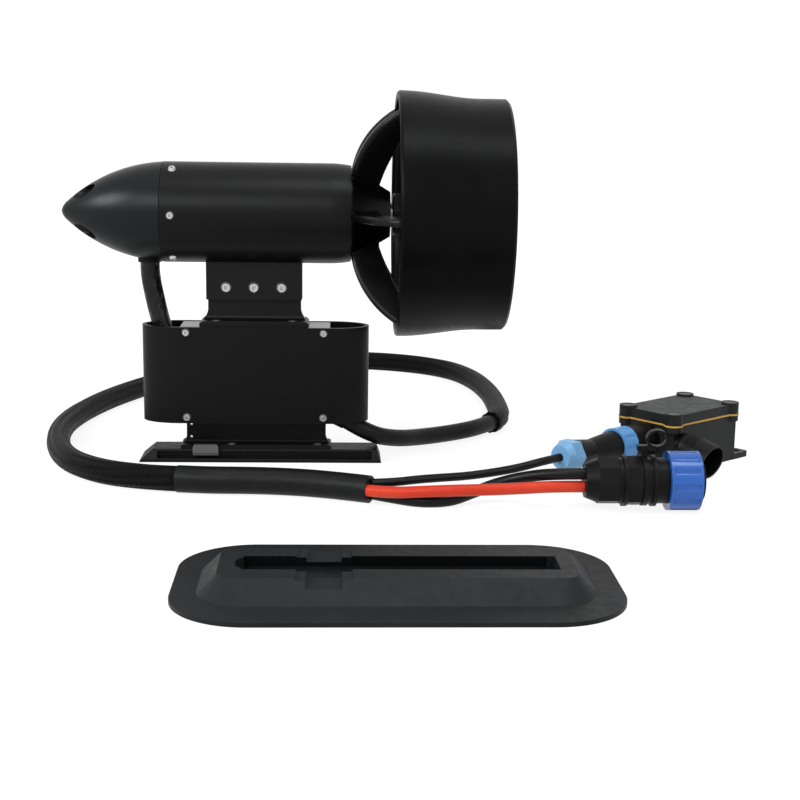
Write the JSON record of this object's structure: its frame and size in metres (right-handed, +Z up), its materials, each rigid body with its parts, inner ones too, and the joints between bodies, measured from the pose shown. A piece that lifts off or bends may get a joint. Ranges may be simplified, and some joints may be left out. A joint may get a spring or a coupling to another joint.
{
  "type": "electric outboard motor",
  "caption": "Ducted electric fin motor for a small board or kayak, on a slide-in fin base, with its controller fairing, braided loom, plugs, control box and fin box pad.",
  "frame": {"origin": "centre of the fin base's flat underside, on the floor, under the middle of the controller fairing", "axes": "+X aft, along the motor's shaft towards the duct; +Y to port, away from the picture's camera; +Z up"},
  "size_m": [0.5225, 0.7224, 0.2616],
  "materials": {
    "nose_black": "anodised, satin",
    "inner_aluminium": "machined",
    "black_rubber": "matte",
    "housing_black": "anodised, matte",
    "stainless": "plain",
    "lamination_steel": "stacked sheet",
    "copper_wire": "enamelled",
    "bearing_steel": "ground",
    "duct_plastic": "satin",
    "bracket_black": "anodised, satin",
    "sleeve_plastic": "satin",
    "case_aluminium": "bare, milled",
    "board_green": "glass-fibre board",
    "capacitor_can": "sleeved can",
    "cable_black": "heat-shrink jacket",
    "braid_black": "braided sleeve",
    "silicone_red": "silicone",
    "silicone_black": "silicone",
    "base_plastic": "satin",
    "latch_plastic": "matte",
    "magnet_steel": "plated magnets",
    "shaft_steel": "ground",
    "propeller_plastic": "satin",
    "plug_plastic": "moulded",
    "ring_blue": "moulded",
    "nut_blue": "moulded",
    "box_plastic": "moulded",
    "gasket_yellow": "silicone",
    "black_screws": "blackened",
    "pad_pvc": "soft PVC"
  },
  "bodies": {
    "motor_unit": {"nose_cone": "nose_black", "front_bulkhead": "inner_aluminium", "nose_grommet": "black_rubber", "motor_housing": "housing_black", "housing_screws": "stainless", "stator": "lamination_steel", "stator_windings": "copper_wire", "front_bearing": "bearing_steel", "rear_bearing": "bearing_steel", "shaft_seal": "black_rubber", "rear_bell": "inner_aluminium", "strut_cage": "duct_plastic", "duct_ring": "duct_plastic", "motor_saddle": "bracket_black", "pylon_bracket": "bracket_black", "pylon_bolts": "stainless", "pylon_nuts": "stainless", "pylon_foot_screws": "stainless", "controller_sleeve": "sleeve_plastic", "sleeve_screws": "stainless", "controller_case": "case_aluminium", "controller_base_plate": "case_aluminium", "controller_seal": "black_rubber", "controller_board": "board_green", "power_capacitors": "capacitor_can", "phase_gland": "black_rubber", "power_gland": "black_rubber", "phase_cable": "cable_black", "power_cable": "cable_black", "braided_loom": "braid_black", "breakout_heat_shrink": "cable_black", "red_lead": "silicone_red", "black_lead": "silicone_black", "signal_lead": "silicone_black", "mount_bracket": "base_plastic", "bracket_screws": "stainless", "fin_base": "base_plastic", "battery_gland_nut": "plug_plastic", "battery_plug_body": "plug_plastic", "battery_plug_insert": "plug_plastic", "retaining_strap": "plug_plastic", "signal_gland_nut": "nut_blue", "signal_plug_body": "plug_plastic", "signal_socket": "plug_plastic", "control_box": "box_plastic", "control_box_gasket": "gasket_yellow", "control_box_lid": "box_plastic", "control_box_screws": "black_screws", "control_board": "board_green", "box_socket": "plug_plastic", "fin_box_pad": "pad_pvc"},
    "propeller_shaft": {"propeller": "propeller_plastic", "motor_shaft": "shaft_steel", "rotor": "magnet_steel", "prop_nut": "propeller_plastic", "drive_pin": "shaft_steel"},
    "fin_latch": {"fin_latch": "latch_plastic"},
    "battery_coupling_ring": {"battery_coupling_ring": "ring_blue"},
    "signal_coupling_ring": {"signal_coupling_ring": "ring_blue"}
  },
  "joints": [
    {"name": "propeller_spin", "type": "hinge", "parent": "motor_unit", "child": "propeller_shaft", "pos_m": [0.114, 0, 0.1762], "axis": [1, 0, 0], "continuous": true},
    {"name": "fin_latch_slide", "type": "slide", "parent": "motor_unit", "child": "fin_latch", "axis": [0, 1, 0], "range_m": [0, 0.006]},
    {"name": "battery_ring_turn", "type": "hinge", "parent": "motor_unit", "child": "battery_coupling_ring", "pos_m": [0.2676, -0.1358, 0.0194], "axis": [1, 0, 0], "range_deg": [0, 90]},
    {"name": "signal_ring_turn", "type": "hinge", "parent": "motor_unit", "child": "signal_coupling_ring", "pos_m": [0.25938, -0.04225, 0.022], "axis": [-0.7705, -0.6374, 0], "range_deg": [0, 90]}
  ]
}
